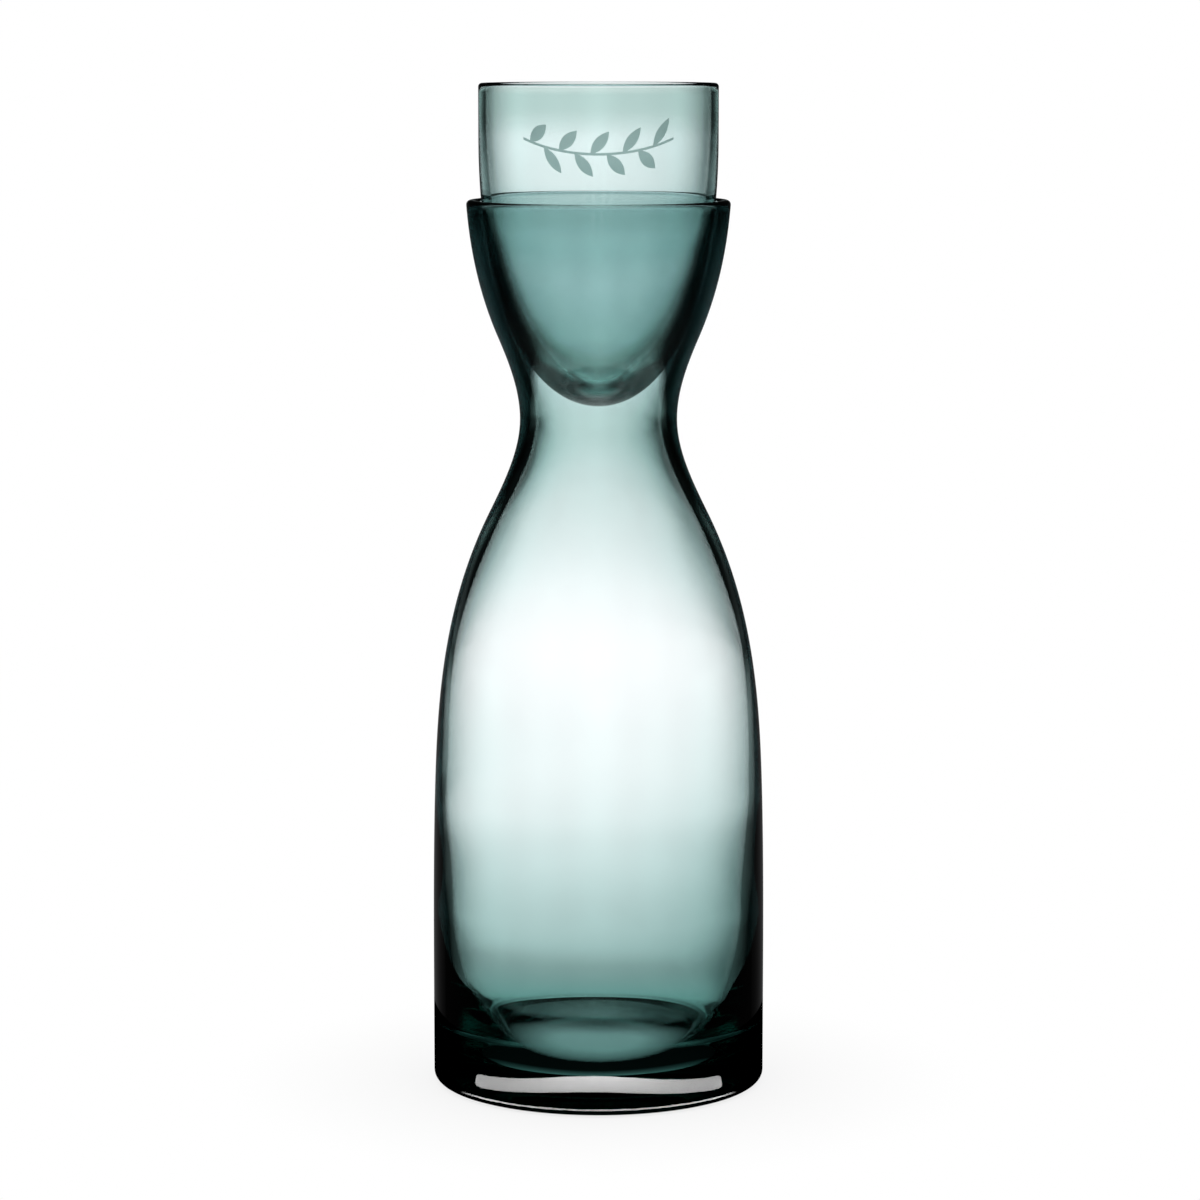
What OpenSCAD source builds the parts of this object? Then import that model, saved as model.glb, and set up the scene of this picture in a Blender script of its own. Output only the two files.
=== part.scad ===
// Bedside carafe with a tumbler that stands in its cupped mouth.
// Both pieces are turned about the Z axis, and the carafe stands on z = 0.

/* [Carafe outside] */
// Diameter of the straight lower side
base_d = 90; // [86:0.2:96]
// Radius of the rounded edge under the side
base_edge_r = 2.5; // [1:0.5:4]
// Height at which the side stops being straight
side_h = 30; // [24:1:40]
// Height of the belly, where the side begins to close in
belly_h = 80; // [70:1:90]
// Diameter at the belly
belly_d = 88.9; // [84:0.1:92]
// Inward lean of the glass at the belly, in mm per mm of height
belly_lean = 0.03; // [0:0.01:0.06]
// Height of the shoulder
shoulder_h = 118; // [108:1:126]
// Diameter at the shoulder
shoulder_d = 82.6; // [78:0.2:86]
// Inward lean of the glass at the shoulder
shoulder_lean = 0.17; // [0.1:0.01:0.25]
// Drop of the flank, where the glass leans most, below the waist
flank_drop = 26; // [19:1:33]
// Diameter at the flank
flank_d = 59.4; // [56:0.2:66]
// Inward lean of the glass at the flank
flank_lean = 0.49; // [0.3:0.01:0.6]
// Height of the waist, the narrowest place
waist_h = 181; // [175:1:187]
// Diameter at the waist
waist_d = 42.2; // [38:0.2:48]
// Rise of the cup, where the glass flares most, above the waist
cup_rise = 22; // [16:1:29]
// Diameter at the cup
cup_d = 54; // [51:0.2:58]
// Outward lean of the glass at the cup
cup_lean = 0.43; // [0.3:0.01:0.55]
// Rise of the lip above the waist
lip_rise = 58.5; // [51:0.5:69]
// Diameter of the lip
lip_d = 70.8; // [67:0.2:76]
// Outward lean of the glass at the lip
lip_lean = 0.07; // [0:0.01:0.12]
// Radius of the melted edges of the lip
lip_edge_r = 1.2; // [0.5:0.1:1.4]

/* [Carafe glass] */
// Wall at the lip
lip_wall = 3; // [2.5:0.1:4]
// Wall at the cup, which carries the tumbler
cup_wall = 3.9; // [3:0.1:4.6]
// Wall at the waist
waist_wall = 4.2; // [3:0.1:5]
// Wall at the flank
flank_wall = 3.6; // [2.6:0.1:4.6]
// Wall at the shoulder
shoulder_wall = 2.3; // [1.6:0.1:3.4]
// Wall at the belly
belly_wall = 3.1; // [2.2:0.1:4.2]
// Wall at the top of the rounded bottom
bowl_wall = 5.2; // [4.4:0.1:6.6]
// Growth of the wall there, in mm per mm of depth
bowl_lean = 0.03; // [0.01:0.01:0.1]
// Height at which the inside begins to round towards the floor
bowl_h = 48; // [46:1:58]
// Length of the round down the wall
bowl_drop = 31; // [24:1:34]
// Length of the round along the floor
bowl_reach = 2.5; // [1.5:0.5:5]
// Glass under the floor
floor_t = 8.2; // [7.6:0.2:12]
// Diameter of the flat floor
floor_d = 54; // [48:1:60]
// Diameter of the low dome in the middle of the floor
dome_d = 44; // [36:1:47]
// Height of that dome
dome_h = 1.4; // [0.6:0.1:2]
// Diameter of the hollow in the underside
punt_d = 58; // [50:1:70]
// Depth of that hollow
punt_h = 3.5; // [1:0.1:4.5]

/* [Tumbler] */
// Height of the tumbler
tumbler_h = 86; // [81:0.5:96]
// Diameter of the tumbler at its rim
tumbler_d = 64; // [61:0.2:66]
// Height at which its side becomes straight
tumbler_side_h = 71; // [64:1:76]
// Length of its round along the bottom
tumbler_reach = 17.8; // [14:0.2:20]
// Length of its round down the side
tumbler_drop = 45.4; // [38:0.2:52]
// Wall of its straight side
tumbler_wall = 1.95; // [1.4:0.05:2.6]
// Glass in its bottom
tumbler_floor_t = 6.3; // [4:0.1:9]
// Height at which its inside becomes straight
hollow_side_h = 78; // [70:1:79]
// Length of the inside round along the bottom
hollow_reach = 10; // [7:0.2:12]
// Length of the inside round down the side
hollow_drop = 56.5; // [48:0.5:60]

/* [Fit] */
// Gap kept between the tumbler and its seat in the cup
seat_gap = 0.3; // [0.2:0.05:0.6]

/* [Hidden] */
$fn = 160;
// Height between two points of a long curve
curve_step = 1.6;
// Points along a free curve, and along a small edge
curve_points = 32;
edge_points = 7;
glass_tint = [0.45, 0.66, 0.66, 0.6];

flank_h = waist_h - flank_drop;
cup_h = waist_h + cup_rise;
carafe_h = waist_h + lip_rise;

// Stations up the carafe: height, radius, growth of the radius per mm of height.
outside_stations = [
    [side_h, base_d / 2, 0],
    [belly_h, belly_d / 2, -belly_lean],
    [shoulder_h, shoulder_d / 2, -shoulder_lean],
    [flank_h, flank_d / 2, -flank_lean],
    [waist_h, waist_d / 2, 0],
    [cup_h, cup_d / 2, cup_lean],
    [carafe_h, lip_d / 2, lip_lean],
];
// Stations up its wall: height, level thickness, growth of the thickness.
wall_stations = [
    [bowl_h, bowl_wall, -bowl_lean],
    [belly_h, belly_wall, 0],
    [shoulder_h, shoulder_wall, 0],
    [flank_h, flank_wall, 0],
    [waist_h, waist_wall, 0],
    [cup_h, cup_wall, 0],
    [carafe_h, lip_wall, 0],
];

// Value at height z of the smooth curve through a list of stations.
function smooth_at(stations, z, i = 0) =
    i < len(stations) - 2 && z > stations[i + 1][0]
        ? smooth_at(stations, z, i + 1)
        : smooth_between(stations[i], stations[i + 1], z);
function smooth_between(low, high, z) =
    let (
        span = high[0] - low[0],
        t = (z - low[0]) / span,
        rise = t * t * (3 - 2 * t)
    )
    low[1] * (1 - rise) + high[1] * rise
        + span * t * (1 - t) * (low[2] * (1 - t) - high[2] * t);

// Points of a cubic curve with two end points and two handles.
function curve(start, handle1, handle2, end) = [
    for (i = [0 : curve_points])
        let (t = i / curve_points, s = 1 - t)
        s * s * s * start + 3 * t * s * s * handle1
            + 3 * t * t * s * handle2 + t * t * t * end
];

// Points of an arc, from angle a to angle b.
function arc(centre, r, a, b, points = edge_points) = [
    for (i = [0 : points])
        let (angle = a + (b - a) * i / points)
        centre + r * [cos(angle), sin(angle)]
];

// Heights from low to high, evenly spaced, with both ends.
function heights(low, high) =
    let (n = ceil((high - low) / curve_step))
    [for (i = [0 : n]) low + (high - low) * i / n];

function outside_r(z) = smooth_at(outside_stations, z);
function inside_r(z) = outside_r(z) - smooth_at(wall_stations, z);
function backwards(list) = [for (i = [len(list) - 1 : -1 : 0]) list[i]];

// Melted lip: two arcs that carry on the lean of the wall.
lip_tilt = atan(lip_lean);
lip_edge_z = carafe_h - lip_edge_r;
lip_start_z = lip_edge_z - lip_edge_r * sin(lip_tilt);
lip_end_z = lip_edge_z + lip_edge_r * sin(lip_tilt);
lip_outer_r = outside_r(lip_start_z) - lip_edge_r * cos(lip_tilt);
lip_inner_r = inside_r(lip_end_z) + lip_edge_r * cos(lip_tilt);

base_r = base_d / 2;
punt_r = punt_d / 2;
bowl_r = inside_r(bowl_h);
floor_r = floor_d / 2;
dome_r = dome_d / 2;

underside = [
    for (i = [0 : curve_points])
        let (r = punt_r * i / curve_points)
        [r, punt_h * (1 - pow(r / punt_r, 2))]
];
base_edge = arc([base_r - base_edge_r, base_edge_r], base_edge_r, -90, 0);
flank = [for (z = heights(side_h, lip_start_z)) [outside_r(z), z]];
lip = concat(
    arc([lip_outer_r, lip_edge_z], lip_edge_r, -lip_tilt, 90),
    arc([lip_inner_r, lip_edge_z], lip_edge_r, 90, 180 - lip_tilt)
);
inside_wall = backwards([
    for (z = heights(bowl_h, lip_end_z)) if (z < lip_end_z) [inside_r(z), z]
]);
bowl = curve(
    [bowl_r, bowl_h],
    [bowl_r - bowl_lean * bowl_drop, bowl_h - bowl_drop],
    [floor_r + bowl_reach, floor_t],
    [floor_r, floor_t]
);
dome = [
    for (i = [0 : curve_points])
        let (r = dome_r * (1 - i / curve_points))
        [r, floor_t + dome_h * (1 + cos(180 * r / dome_r)) / 2]
];

// Tumbler outlines, with its lowest point at z = 0.
tumbler_r = tumbler_d / 2;
hollow_r = tumbler_r - tumbler_wall;
rim_r = tumbler_wall / 2;
tumbler_outside = curve(
    [0, 0],
    [tumbler_reach, 0],
    [tumbler_r, tumbler_side_h - tumbler_drop],
    [tumbler_r, tumbler_side_h]
);
rim = arc([tumbler_r - rim_r, tumbler_h - rim_r], rim_r, 0, 180, 2 * edge_points);
tumbler_inside = curve(
    [hollow_r, hollow_side_h],
    [hollow_r, hollow_side_h - hollow_drop],
    [hollow_reach, tumbler_floor_t],
    [0, tumbler_floor_t]
);

// The tumbler sinks until its outside, widened by the gap, meets the cup.
// What is narrower than the waist hangs free in the neck.
cup_inside = [for (z = heights(waist_h, lip_end_z)) [inside_r(z), z]];
seat_z = max([
    for (p = tumbler_outside)
        if (p[0] + seat_gap > inside_r(waist_h)) lookup(p[0] + seat_gap, cup_inside) - p[1]
]);

module carafe() {
    color(glass_tint)
        rotate_extrude()
            polygon(concat(underside, base_edge, flank, lip, inside_wall, skip_first(bowl), dome));
}

module tumbler() {
    color(glass_tint)
        translate([0, 0, seat_z])
            rotate_extrude()
                polygon(concat(tumbler_outside, rim, tumbler_inside));
}

function skip_first(list) = [for (i = [1 : len(list) - 1]) list[i]];

carafe();
tumbler();
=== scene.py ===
"""Bedside carafe with a tumbler in its cupped mouth: the looks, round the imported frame."""

import math

import bpy
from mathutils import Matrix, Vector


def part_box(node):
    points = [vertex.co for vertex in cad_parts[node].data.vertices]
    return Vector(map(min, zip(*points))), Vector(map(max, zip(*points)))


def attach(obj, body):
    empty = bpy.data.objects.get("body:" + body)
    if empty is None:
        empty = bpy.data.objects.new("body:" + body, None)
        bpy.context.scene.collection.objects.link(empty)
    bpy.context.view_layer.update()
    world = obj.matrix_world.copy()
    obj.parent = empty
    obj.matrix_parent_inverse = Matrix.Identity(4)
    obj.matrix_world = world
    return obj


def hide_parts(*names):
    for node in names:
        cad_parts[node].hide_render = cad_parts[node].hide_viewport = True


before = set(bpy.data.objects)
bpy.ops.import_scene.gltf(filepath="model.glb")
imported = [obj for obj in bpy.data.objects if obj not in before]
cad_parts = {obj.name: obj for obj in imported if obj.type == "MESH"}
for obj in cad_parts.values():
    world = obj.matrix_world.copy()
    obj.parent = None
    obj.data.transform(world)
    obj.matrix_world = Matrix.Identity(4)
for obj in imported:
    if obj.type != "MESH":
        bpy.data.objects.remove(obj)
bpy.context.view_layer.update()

MM = 0.001
DEGREE = math.pi / 180

# The photograph's camera, in front of the carafe on -Y.
PHOTO_SIDE_PX = 1200
FOCAL_PX = 4147
SENSOR_MM = 36
CAMERA_PLACE = (0.4 * MM, -1111 * MM, 283.3 * MM)
CAMERA_PITCH = 7.77 * DEGREE

# Glass: how much light each millimetre takes out of red, green and blue.
TINT_PER_MM = (0.104, 0.060, 0.0645)
TINT_MARGIN = 1.2
GLASS_IOR = 1.5
RIPPLE_SCALE = 55
RIPPLE_STRENGTH = 0.015
RIPPLE_DEPTH = 1 * MM

# Turning: steps round the axis, the longest step along the outline, and what counts as one
# point or as lying in the plane of the outline.
CARAFE_STEPS = 192
TUMBLER_STEPS = 224
LONGEST_STEP = 2.5 * MM
SAME_POINT = 0.01 * MM
IN_PLANE = 0.005 * MM

# Painted shade: the outside is darkened where the glass turns away from the eye, from this
# share of the turn on, by height in mm: earlier where the wall is thick.
CARAFE_PAINTED_EDGE = (
    (0, 0.42),
    (30, 0.42),
    (45, 0.47),
    (62, 0.54),
    (90, 0.62),
    (120, 0.67),
    (150, 0.67),
    (165, 0.56),
    (172, 0.45),
    (184, 0.40),
    (191, 0.34),
    (201, 0.23),
    (212, 0.27),
    (226, 0.30),
    (236, 0.35),
    (240, 0.48),
)
TUMBLER_PAINTED_EDGE = (
    (184, 0.50),
    (189, 0.42),
    (192, 0.26),
    (195, 0.33),
    (200, 0.48),
    (236, 0.75),
    (272, 0.85),
)
# How fast the painted shade at the outline comes on past its start, and its colour there.
PAINTED_EDGE_WIDTH = 0.12
PAINTED_EDGE_SHADE = (0.0010, 0.0034, 0.0038, 1)

# Blown lower wall of the carafe: the inside wanders a little and sits off centre.
WAVY_LOW = 17 * MM
WAVY_FULL_LOW = 30 * MM
WAVY_FULL_HIGH = 66 * MM
WAVY_HIGH = 92 * MM
WAVE_SIZE = 40 * MM
WAVE_DEPTH = 0.3 * MM
HOLLOW_OFFSET = -0.4 * MM

# Frosted sprig on the front of the tumbler: a bowed stem with leaves above and below it.
SPRIG_BELOW_RIM = 18 * MM
SPRIG_HALF = 21 * MM
STEM_BOW = 0.009 / MM
STEM_WIDTH = 0.7 * MM
UPPER_LEAVES = 5
LOWER_LEAVES = 4
LEAF_PITCH = 8.4 * MM
LEAF_ROOT = LEAF_PITCH / 4
LEAF_LENGTH = 7.6 * MM
LEAF_WIDTH = 3.0 * MM
LEAF_SLANT = 40 * DEGREE
FROST_EDGE = 0.2 * MM
FROST_DEPTH = 0.5 * MM
FROST_ROUGHNESS = 0.45
FROST_TINT = (0.32, 0.45, 0.43, 1)


class Value:
    """An output of a shader node. Arithmetic on it adds Math nodes to its tree."""

    def __init__(self, tree, socket):
        self.tree = tree
        self.socket = socket

    @staticmethod
    def node(tree, kind, settings=None, inputs=None, out=0):
        """Adds a node, sets it up, fills its inputs, and returns one of its outputs."""
        made = tree.nodes.new(kind)
        for name, setting in (settings or {}).items():
            if name == "stops":
                for i, (place, colour) in enumerate(setting):
                    stops = made.color_ramp.elements
                    stop = stops[i] if i < 2 else stops.new(place)
                    stop.position = place
                    stop.color = colour
            elif name == "interpolation":
                made.color_ramp.interpolation = setting
            else:
                setattr(made, name, setting)
        for name, given in (inputs or {}).items():
            if isinstance(given, Value):
                tree.links.new(given.socket, made.inputs[name])
            else:
                made.inputs[name].default_value = given
        return Value(tree, made.outputs[out]) if made.outputs else None

    def math(self, operation, *values):
        values = dict(enumerate(values))
        return Value.node(self.tree, "ShaderNodeMath", {"operation": operation}, values)

    @staticmethod
    def mixed(tree, share, first, second):
        """One colour turning into another as the share goes from 0 to 1."""
        inputs = {0: share, 6: first, 7: second}
        return Value.node(tree, "ShaderNodeMix", {"data_type": "RGBA"}, inputs, out=2)

    def __add__(self, other):
        return self.math("ADD", self, other)

    def __radd__(self, other):
        return self.math("ADD", other, self)

    def __sub__(self, other):
        return self.math("SUBTRACT", self, other)

    def __rsub__(self, other):
        return self.math("SUBTRACT", other, self)

    def __mul__(self, other):
        return self.math("MULTIPLY", self, other)

    def __rmul__(self, other):
        return self.math("MULTIPLY", other, self)

    def __truediv__(self, other):
        return self.math("DIVIDE", self, other)

    def __gt__(self, other):
        return self.math("GREATER_THAN", self, other)

    def __lt__(self, other):
        return self.math("LESS_THAN", self, other)

    def __abs__(self):
        return self.math("ABSOLUTE", self)

    def clamped(self):
        return self.math("MINIMUM", self.math("MAXIMUM", self, 0), 1)


def fresh_tree(owner):
    """Empties the node tree of a material or a world."""
    owner.use_nodes = True
    owner.node_tree.nodes.clear()
    return owner.node_tree


def axes_of(tree, vector):
    """Splits a vector into its three values."""
    apart = Value.node(tree, "ShaderNodeSeparateXYZ", inputs={0: vector}).socket.node
    return [Value(tree, out) for out in apart.outputs]


def length(across, along):
    """Length of a flat vector."""
    return across.math("SQRT", across * across + along * along)


def between(value, low, high):
    """0 below low, 1 above high."""
    return ((value - low) / (high - low)).clamped()


def curve_through(tree, value, stops):
    """A smooth curve through (place, level) pairs, as a number; levels go up to 2."""
    low, high = stops[0][0], stops[-1][0]
    placed = [((p - low) / (high - low), (v / 2, v / 2, v / 2, 1)) for p, v in stops]
    return 2 * Value.node(
        tree,
        "ShaderNodeValToRGB",
        {"interpolation": "EASE", "stops": placed},
        {"Fac": (value - low) / (high - low)},
    )


# Pieces


def deselect_all():
    bpy.ops.object.select_all(action="DESELECT")


def cut_long_edges(piece):
    """Halves the outline's long straight edges, so that the shading stays straight along them."""
    bpy.ops.mesh.select_all(action="DESELECT")
    bpy.ops.mesh.select_mode(type="EDGE")
    bpy.ops.object.mode_set(mode="OBJECT")
    places = [v.co for v in piece.data.vertices]
    for edge in piece.data.edges:
        first, last = (places[i] for i in edge.vertices)
        edge.select = (first - last).length > LONGEST_STEP
    found = any(edge.select for edge in piece.data.edges)
    bpy.ops.object.mode_set(mode="EDIT")
    if found:
        bpy.ops.mesh.subdivide(number_cuts=1)
    bpy.ops.mesh.select_mode(type="VERT")
    return found


def outwards(v):
    """Above 0 where a point's normal leads away from the axis, below 0 where it leads there."""
    return v.normal.x * v.co.x + v.normal.y * v.co.y


def turned_piece(node, name, steps):
    """Turns the outline of a CAD node about Z into one smooth closed shell.

    Its attribute "outside" is 1 where the surface looks away from the axis.
    """
    deselect_all()
    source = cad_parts[node]
    source.select_set(True)
    bpy.context.view_layer.objects.active = source
    bpy.ops.object.duplicate()
    piece = bpy.context.active_object
    piece.name = piece.data.name = name
    bpy.ops.object.mode_set(mode="EDIT")
    bpy.ops.mesh.select_all(action="SELECT")
    bpy.ops.mesh.remove_doubles(threshold=SAME_POINT)
    bpy.ops.mesh.select_all(action="DESELECT")
    bpy.ops.mesh.select_mode(type="VERT")
    bpy.ops.object.mode_set(mode="OBJECT")
    for v in piece.data.vertices:
        v.select = abs(v.co.y) > IN_PLANE or v.co.x < -IN_PLANE
    bpy.ops.object.mode_set(mode="EDIT")
    bpy.ops.mesh.delete(type="VERT")
    while cut_long_edges(piece):
        pass
    bpy.ops.mesh.select_all(action="SELECT")
    bpy.ops.mesh.spin(steps=steps, angle=2 * math.pi, center=(0, 0, 0), axis=(0, 0, 1))
    bpy.ops.mesh.select_all(action="SELECT")
    bpy.ops.mesh.remove_doubles(threshold=SAME_POINT)
    bpy.ops.mesh.normals_make_consistent(inside=False)
    bpy.ops.object.mode_set(mode="OBJECT")
    bpy.ops.object.shade_smooth()
    outside = piece.data.attributes.new("outside", "FLOAT", "POINT")
    for v in piece.data.vertices:
        upwards = max(v.normal.z, 0) * math.hypot(v.co.x, v.co.y)
        outside.data[v.index].value = outwards(v) > upwards
    return piece


def ease(x, low, high):
    """Rises smoothly from 0 at low to 1 at high."""
    t = min(max((x - low) / (high - low), 0), 1)
    return t * t * (3 - 2 * t)


def blown_wall(carafe):
    """Lets the inside of the lower wall wander, as blown glass does."""
    group = carafe.vertex_groups.new(name="lower_inside")
    for v in carafe.data.vertices:
        weight = ease(v.co.z, WAVY_LOW, WAVY_FULL_LOW)
        weight *= 1 - ease(v.co.z, WAVY_FULL_HIGH, WAVY_HIGH)
        if outwards(v) < 0 and weight > 0:
            group.add([v.index], weight, "REPLACE")
    waves = bpy.data.textures.new("blown_waves", "CLOUDS")
    waves.noise_scale = WAVE_SIZE
    waves.noise_depth = 0
    for name, direction, texture, strength, middle in (
        ("waves", "NORMAL", waves, WAVE_DEPTH, 0.5),
        ("offset", "X", None, HOLLOW_OFFSET, 0),
    ):
        shift = carafe.modifiers.new(name, "DISPLACE")
        shift.direction = direction
        shift.texture = texture
        shift.texture_coords = "LOCAL"
        shift.strength = strength
        shift.mid_level = middle
        shift.vertex_group = group.name
        bpy.context.view_layer.objects.active = carafe
        bpy.ops.object.modifier_apply(modifier=name)


# Materials


def frosted_sprig(tree, place, rim_z, outer_r):
    """Mask of the etched sprig: 1 on a stem or leaf, 0 on clear glass."""
    x, y, z = axes_of(tree, place)
    along = x.math("ARCTAN2", x, 0 - y) * outer_r
    stem_z = rim_z - SPRIG_BELOW_RIM + along * along * STEM_BOW
    above = z - stem_z

    def etched(depth):
        return (depth / FROST_EDGE + 0.5).clamped()

    def leaves(up, first):
        """Leaves on one side of the stem, one in each pitch."""
        base = x.math("WRAP", along - first, LEAF_PITCH, 0) - LEAF_ROOT
        tipward = up * math.cos(LEAF_SLANT) + base * math.sin(LEAF_SLANT) - LEAF_LENGTH / 2
        aside = base * math.cos(LEAF_SLANT) - up * math.sin(LEAF_SLANT)
        share = tipward / (LEAF_LENGTH / 2)
        return etched((1 - share * share) * (LEAF_WIDTH / 2) - abs(aside))

    stem = etched(STEM_WIDTH / 2 - abs(above)) * (abs(along) < SPRIG_HALF)
    upper = leaves(above, -LEAF_PITCH / 2)
    lower = leaves(0 - above, 0)
    upper = upper * (abs(along) < UPPER_LEAVES / 2 * LEAF_PITCH)
    lower = lower * (abs(along) < LOWER_LEAVES / 2 * LEAF_PITCH)
    whole = stem.math("MAXIMUM", stem, upper.math("MAXIMUM", upper, lower))
    return whole * (length(x, y) > outer_r - FROST_DEPTH)


def tinted_glass(name, painted_edge_starts, frosted_mask=None):
    """Clear smoky teal glass, tinted by depth, darkened at its outline by painted shade, rough
    where the mask is set.
    """
    material = bpy.data.materials.new(name)
    tree = fresh_tree(material)
    place = Value.node(tree, "ShaderNodeTexCoord", out="Object")
    ripple = Value.node(
        tree,
        "ShaderNodeTexNoise",
        inputs={"Vector": place, "Scale": RIPPLE_SCALE, "Detail": 1},
    )
    normal = Value.node(
        tree,
        "ShaderNodeBump",
        inputs={"Strength": RIPPLE_STRENGTH, "Distance": RIPPLE_DEPTH, "Height": ripple},
    )
    outside = Value.node(tree, "ShaderNodeAttribute", {"attribute_name": "outside"}, out="Fac")
    # Painted shade: the base colour goes from white to near black towards the outline, where the
    # outside turns away from the eye.
    turn = Value.node(tree, "ShaderNodeLayerWeight", inputs={"Blend": 0.5}, out="Facing")
    start = curve_through(tree, axes_of(tree, place)[2] / MM, painted_edge_starts)
    clear = 1 - between(turn, start, start + PAINTED_EDGE_WIDTH) * outside
    colour = Value.mixed(tree, clear * clear, PAINTED_EDGE_SHADE, (1, 1, 1, 1))
    roughness = 0.0
    if frosted_mask:
        frost = frosted_mask(tree, place)
        colour = Value.mixed(tree, frost, colour, FROST_TINT)
        roughness = frost * FROST_ROUGHNESS
    glass = Value.node(
        tree,
        "ShaderNodeBsdfPrincipled",
        inputs={
            "Base Color": colour,
            "Transmission Weight": 1,
            "IOR": GLASS_IOR,
            "Roughness": roughness,
            "Normal": normal,
        },
    )
    density = TINT_MARGIN * max(TINT_PER_MM) / MM
    kept = [1 - taken / MM / density for taken in TINT_PER_MM]
    depth = Value.node(
        tree,
        "ShaderNodeVolumeAbsorption",
        inputs={"Color": (*kept, 1), "Density": density},
    )
    Value.node(tree, "ShaderNodeOutputMaterial", inputs={"Surface": glass, "Volume": depth})
    return material


# Stage


def photo_camera():
    data = bpy.data.cameras.new("photo_camera")
    data.sensor_width = SENSOR_MM
    data.lens = FOCAL_PX / PHOTO_SIDE_PX * SENSOR_MM
    data.clip_start = 10 * MM
    camera = bpy.data.objects.new("photo_camera", data)
    camera.location = CAMERA_PLACE
    camera.rotation_euler = (math.pi / 2 - CAMERA_PITCH, 0, 0)
    bpy.context.collection.objects.link(camera)
    bpy.context.scene.camera = camera


# Back light: level by degrees above the horizon, and its spread either side of its middle, in
# tens of degrees.
GLOW = (
    (-50, 1.3),
    (-27, 1.0),
    (-20, 1.3),
    (-13, 1.48),
    (-8, 1.53),
    (-3, 1.58),
    (1, 1.4),
    (4, 0.5),
    (7, 0.01),
    (22, 0.01),
    (27, 0.5),
    (36, 0.5),
    (41, 0.0),
)
GLOW_MIDDLE = -2
GLOW_SPREAD = (
    (-40, 1.8),
    (-27, 1.5),
    (-20, 1.5),
    (-16, 1.9),
    (-11, 2.0),
    (-8, 1.6),
    (-5, 1.1),
    (-3, 1.0),
    (0, 1.2),
    (20, 2.0),
)
GLOW_IN_REFLECTIONS = 0.06
GLOW_TINT = (1.0, 1.0, 1.02, 1)
# Warmer middle of the back light.
WARM_TINT = (1.0, 0.1, 0.15, 1)
WARM = ((-50, 0.25), (-20, 0.28), (-12, 0.34), (-5, 0.34), (2, 0.0))
WARM_SPREAD = 0.65
# Lamps like it for the other three sides, and low ones at the corners between.
SIDE_LEVEL = 0.85
CORNER_GLOW = ((-45, 0.5), (-32, 0.9), (-20, 1.0), (-12, 0.9), (-4, 0.5), (2, 0.0))
CORNER_SPREAD = 12
REAR_CORNERS = 0.12
# Degrees from the middle of one of the four sides to a corner.
HALF_SIDE = 45
# Light from the floor and from above, the same all round.
ALL_ROUND = (
    (-90, 1.2),
    (-64, 1.0),
    (-50, 0.15),
    (-40, 0.12),
    (-28, 0.03),
    (-20, 0.006),
    (40, 0.006),
    (60, 0.012),
)


def studio_light():
    """A soft back light, dimmer lamps all round, a pale floor glow, and white to the camera."""
    world = bpy.data.worlds.new("studio")
    bpy.context.scene.world = world
    tree = fresh_tree(world)
    way = Value.node(tree, "ShaderNodeTexCoord", out="Generated")
    x, y, z = axes_of(tree, way)
    height = z.math("ARCSINE", z) / DEGREE
    round_about = x.math("ARCTAN2", x, y) / DEGREE

    def bell(share):
        return x.math("EXPONENT", share * share * -0.5)

    def off_axis(first):
        """Degrees from the nearest of four lamps, the first of which stands at an angle."""
        return x.math("WRAP", round_about - first, HALF_SIDE, -HALF_SIDE)

    spread = curve_through(tree, height, GLOW_SPREAD) * 10
    lamps = bell(off_axis(GLOW_MIDDLE) / spread) * curve_through(tree, height, GLOW)
    behind = abs(round_about) < HALF_SIDE
    through = Value.node(tree, "ShaderNodeLightPath", out="Is Transmission Ray")
    shown = GLOW_IN_REFLECTIONS + (1 - GLOW_IN_REFLECTIONS) * through
    glow = behind * lamps * shown
    side = (1 - behind) * lamps * SIDE_LEVEL
    corner = bell(off_axis(HALF_SIDE) / CORNER_SPREAD)
    corner = corner * curve_through(tree, height, CORNER_GLOW)
    corner = corner * (REAR_CORNERS + (1 - REAR_CORNERS) * (y < 0))
    around = curve_through(tree, height, ALL_ROUND)
    to_camera = Value.node(tree, "ShaderNodeLightPath", out="Is Camera Ray")
    to_glass = 1 - to_camera
    warm = bell((round_about - GLOW_MIDDLE) / (spread * WARM_SPREAD))
    warm = warm * curve_through(tree, height, WARM) * behind * through

    def shine(tint, level):
        inputs = {"Color": tint, "Strength": level}
        return Value.node(tree, "ShaderNodeBackground", inputs=inputs)

    lamp = Value.node(
        tree,
        "ShaderNodeAddShader",
        inputs={
            0: shine(GLOW_TINT, glow * to_glass),
            1: shine(WARM_TINT, warm),
        },
    )
    rest = to_camera + to_glass * (through * (side + corner) + around)
    plain = shine((1, 1, 1, 1), rest)
    whole = Value.node(tree, "ShaderNodeAddShader", inputs={0: lamp, 1: plain})
    Value.node(tree, "ShaderNodeOutputWorld", inputs={"Surface": whole})


DISC_SIDES = 96


def stage_piece(name):
    """Names the piece just added, fixes its place, and gives it a material to fill."""
    piece = bpy.context.active_object
    piece.name = name
    bpy.ops.object.transform_apply(location=True)
    material = bpy.data.materials.new(name)
    piece.data.materials.append(material)
    return piece, fresh_tree(material)


def stage_disc(name, radius, z):
    """Lays a flat disc about the axis, and returns it with its tree and its x and y."""
    deselect_all()
    bpy.ops.mesh.primitive_circle_add(
        vertices=DISC_SIDES, radius=radius, fill_type="NGON", location=(0, 0, z)
    )
    disc, tree = stage_piece(name)
    x, y, _ = axes_of(tree, Value.node(tree, "ShaderNodeTexCoord", out="Object"))
    return disc, tree, x, y


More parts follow.
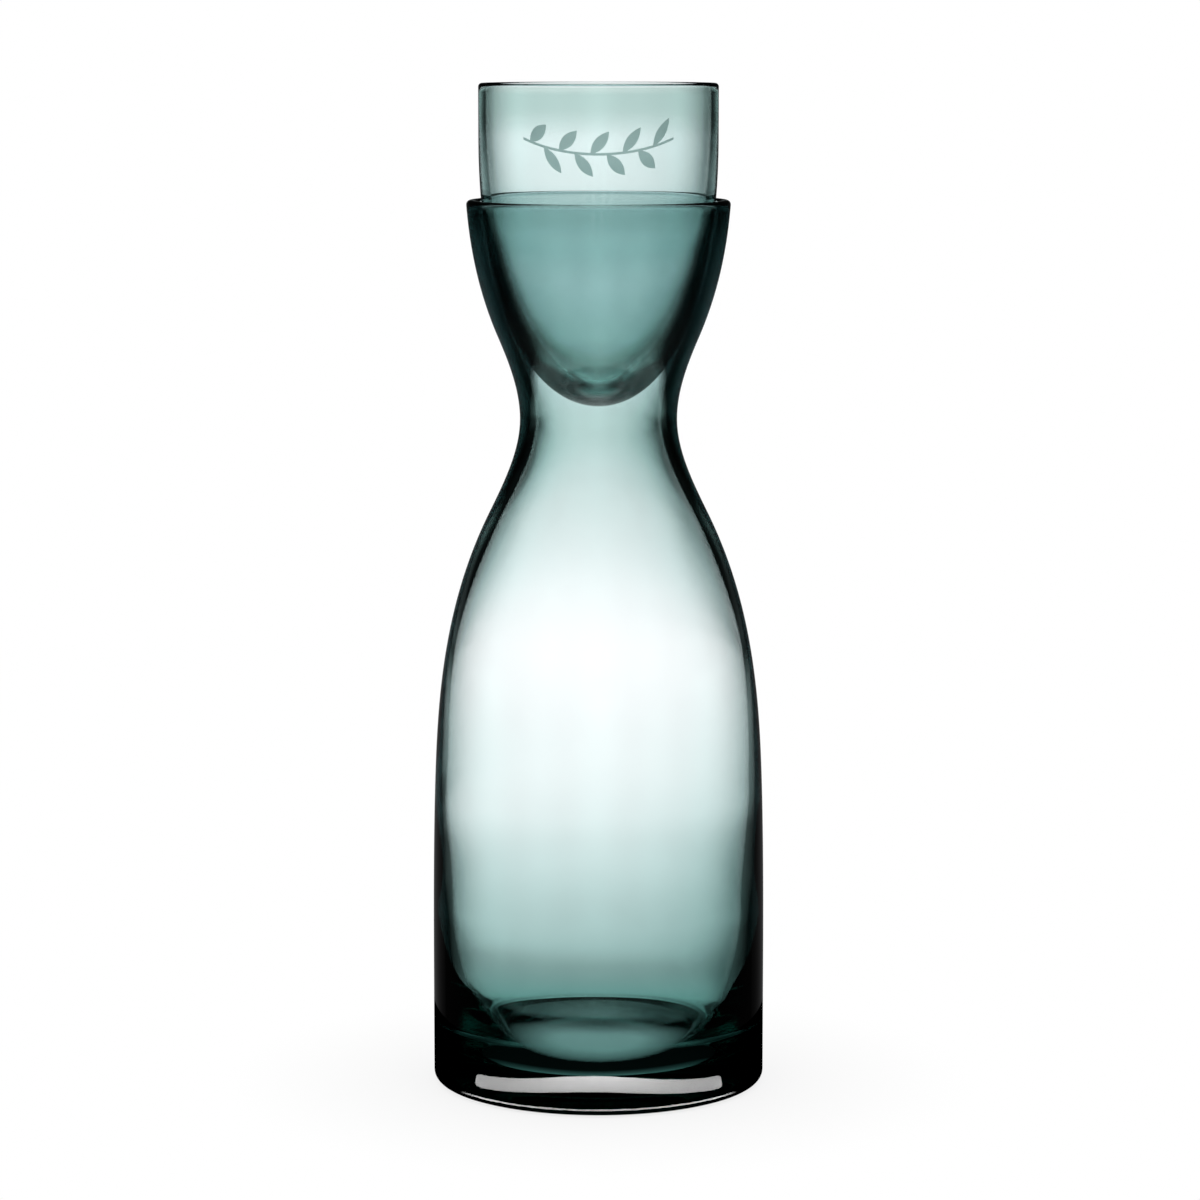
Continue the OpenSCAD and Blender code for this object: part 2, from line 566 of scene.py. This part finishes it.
def fading(tree, paint, fade):
    """Ends a tree in a paint that gives way to nothing as the fade goes from 0 to 1."""
    gone = Value.node(tree, "ShaderNodeBsdfTransparent")
    mixed = Value.node(tree, "ShaderNodeMixShader", inputs={0: fade, 1: paint, 2: gone})
    Value.node(tree, "ShaderNodeOutputMaterial", inputs={"Surface": mixed})


FLOOR_RADIUS = 900 * MM
FLOOR_FADE = 300 * MM
FLOOR_GAP = 0.3 * MM
CONTACT_REACH = 60 * MM
CONTACT_LEVEL = 0.8
CONTACT_SAMPLES = 8


def pale_floor():
    """A plain white floor with a soft contact shade, fading into the backdrop."""
    floor, tree, x, y = stage_disc("pale_floor", FLOOR_RADIUS, -FLOOR_GAP)
    open_sky = Value.node(
        tree,
        "ShaderNodeAmbientOcclusion",
        {"samples": CONTACT_SAMPLES},
        {"Distance": CONTACT_REACH},
        out="AO",
    )
    level = CONTACT_LEVEL + (1 - CONTACT_LEVEL) * open_sky
    paint = Value.node(tree, "ShaderNodeEmission", inputs={"Strength": level})
    fading(tree, paint, between(length(x, y), FLOOR_RADIUS - FLOOR_FADE, FLOOR_RADIUS))
    floor.visible_transmission = False
    floor.visible_glossy = False


# What the glass shows of the floor by distance from the middle: light under the hollow of
# the base, dark where its ring stands, then nothing, so that the back light shows.
HOLLOW_LIGHT = 0.8
HOLLOW_LIGHT_TO = 10 * MM
HOLLOW_SHIFT = 4 * MM
HOLLOW_STRETCH = 0.8
RING_LIGHT = 0.012
RING_DARK_FROM = 25 * MM
RING_DARK_TO = 43 * MM
RING_GONE_AT = 48 * MM


def foot_shade():
    """The shade of the base on the floor, seen through the glass only."""
    shade, tree, x, y = stage_disc("foot_shade", RING_GONE_AT, -2 * FLOOR_GAP)
    from_light = length(x * HOLLOW_STRETCH, y + HOLLOW_SHIFT)
    level = 1 - between(from_light, HOLLOW_LIGHT_TO, RING_DARK_FROM)
    level = RING_LIGHT + level * HOLLOW_LIGHT
    lit = Value.node(tree, "ShaderNodeEmission", inputs={"Color": GLOW_TINT, "Strength": level})
    fading(tree, lit, between(length(x, y), RING_DARK_TO, RING_GONE_AT))
    shade.visible_camera = False
    shade.visible_glossy = False
    shade.visible_diffuse = False
    shade.visible_shadow = False


# Low lamps on the floor, seen only as reflections in the side of the base: a broad bowed
# strip before it, and thin lines close to the foot before and behind it.
LAMP_REACH = 110 * MM
STRIP_STRETCH = 1.3
STRIP_INNER = 71.6 * MM
STRIP_OUTER = 89.6 * MM
STRIP_END = 28 * MM
STRIP_CORNER = 5 * MM
STRIP_SOFT_EDGE = 0.6 * MM
STRIP_SHIFT = 0.8 * MM
STRIP_LEVEL = 17
STRIP_END_LEVEL = 3.5
STRIP_INNER_SHARE = 0.6
LINE_INNER = 46.2 * MM
LINE_OUTER = 48.2 * MM
LINE_HALF_TURN = 60 * DEGREE
LINE_FULL_TO = 0.8
LINE_LEVEL = 10


def floor_lamps():
    """A disc on the floor that carries the strip and the lines."""
    disc, tree, x, y = stage_disc("floor_lamps", LAMP_REACH, -FLOOR_GAP / 2)
    across = x + STRIP_SHIFT
    radius = length(across * STRIP_STRETCH, y)
    middle = (STRIP_INNER + STRIP_OUTER) / 2
    past_end = STRIP_END + STRIP_CORNER - abs(y)
    past_edge = abs(radius - middle) - ((STRIP_OUTER - STRIP_INNER) / 2 - STRIP_CORNER)
    corner = length(past_end.math("MAXIMUM", past_end, 0), past_edge.math("MAXIMUM", past_edge, 0))
    share = abs(across) / STRIP_INNER
    level = STRIP_LEVEL - (STRIP_LEVEL - STRIP_END_LEVEL) * share * share
    outer_share = between(radius, STRIP_INNER, STRIP_OUTER)
    level = level * (STRIP_INNER_SHARE + (1 - STRIP_INNER_SHARE) * outer_share)
    strip = between(STRIP_CORNER - corner, 0, STRIP_SOFT_EDGE) * level * (y < 0)
    radius = length(x, y)
    turn = x.math("ARCTAN2", abs(x), abs(y))
    line = (radius > LINE_INNER) * (radius < LINE_OUTER) * LINE_LEVEL
    line = line * (1 - between(turn, LINE_HALF_TURN * LINE_FULL_TO, LINE_HALF_TURN))
    lamp = Value.node(tree, "ShaderNodeEmission", inputs={"Strength": strip + line})
    Value.node(tree, "ShaderNodeOutputMaterial", inputs={"Surface": lamp})
    disc.visible_camera = False
    disc.visible_transmission = False
    disc.visible_diffuse = False
    disc.visible_shadow = False


# Graded sheet round the upper part: what it lets through, by height.
SHEET_SIDES = 128
SHEET_RADIUS = 60 * MM
SHEET_LOW = 110 * MM
SHEET_HIGH = 420 * MM
SHEET_TINTS = (
    (110, (1.0, 1.0, 1.0, 1)),
    (128, (0.98, 0.98, 0.98, 1)),
    (163, (0.75, 0.80, 0.79, 1)),
    (174, (0.68, 0.77, 0.75, 1)),
    (187, (0.83, 0.91, 0.93, 1)),
    (205, (0.81, 0.90, 0.93, 1)),
    (219, (0.58, 0.75, 0.76, 1)),
    (229, (0.44, 0.60, 0.60, 1)),
    (240, (0.73, 0.82, 0.81, 1)),
    (250, (0.73, 0.83, 0.82, 1)),
    (263, (0.52, 0.64, 0.61, 1)),
    (420, (0.52, 0.64, 0.61, 1)),
)


def graded_sheet():
    """A sheet round the upper part, unseen itself, that dims and cools the light on its way in."""
    deselect_all()
    bpy.ops.mesh.primitive_cylinder_add(
        vertices=SHEET_SIDES,
        radius=SHEET_RADIUS,
        depth=SHEET_HIGH - SHEET_LOW,
        end_fill_type="NOTHING",
        location=(0, 0, (SHEET_LOW + SHEET_HIGH) / 2),
    )
    sheet, tree = stage_piece("graded_sheet")
    place = Value.node(tree, "ShaderNodeTexCoord", out="Object")

    def share(z):
        return (z - SHEET_LOW) / (SHEET_HIGH - SHEET_LOW)

    stops = [(share(z * MM), tint) for z, tint in SHEET_TINTS]
    tint = Value.node(
        tree,
        "ShaderNodeValToRGB",
        {"interpolation": "EASE", "stops": stops},
        {"Fac": share(axes_of(tree, place)[2])},
    )
    film = Value.node(tree, "ShaderNodeBsdfTransparent", inputs={"Color": tint})
    Value.node(tree, "ShaderNodeOutputMaterial", inputs={"Surface": film})
    sheet.visible_camera = False
    sheet.visible_shadow = False


# The object

scene = bpy.context.scene
scene.view_settings.view_transform = "Standard"
scene.cycles.max_bounces = 32
scene.cycles.transmission_bounces = 32
scene.cycles.glossy_bounces = 16

photo_camera()
studio_light()
pale_floor()
foot_shade()
floor_lamps()
graded_sheet()

carafe = turned_piece("carafe", "carafe_glass", CARAFE_STEPS)
blown_wall(carafe)
carafe.data.materials.clear()
carafe.data.materials.append(tinted_glass("carafe_glass", CARAFE_PAINTED_EDGE))
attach(carafe, "carafe")
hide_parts("carafe")

_, tumbler_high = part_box("tumbler")
tumbler = turned_piece("tumbler", "tumbler_glass", TUMBLER_STEPS)
tumbler.data.materials.clear()
tumbler.data.materials.append(
    tinted_glass(
        "tumbler_glass",
        TUMBLER_PAINTED_EDGE,
        lambda tree, place: frosted_sprig(tree, place, tumbler_high[2], tumbler_high[0]),
    )
)
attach(tumbler, "tumbler")
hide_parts("tumbler")
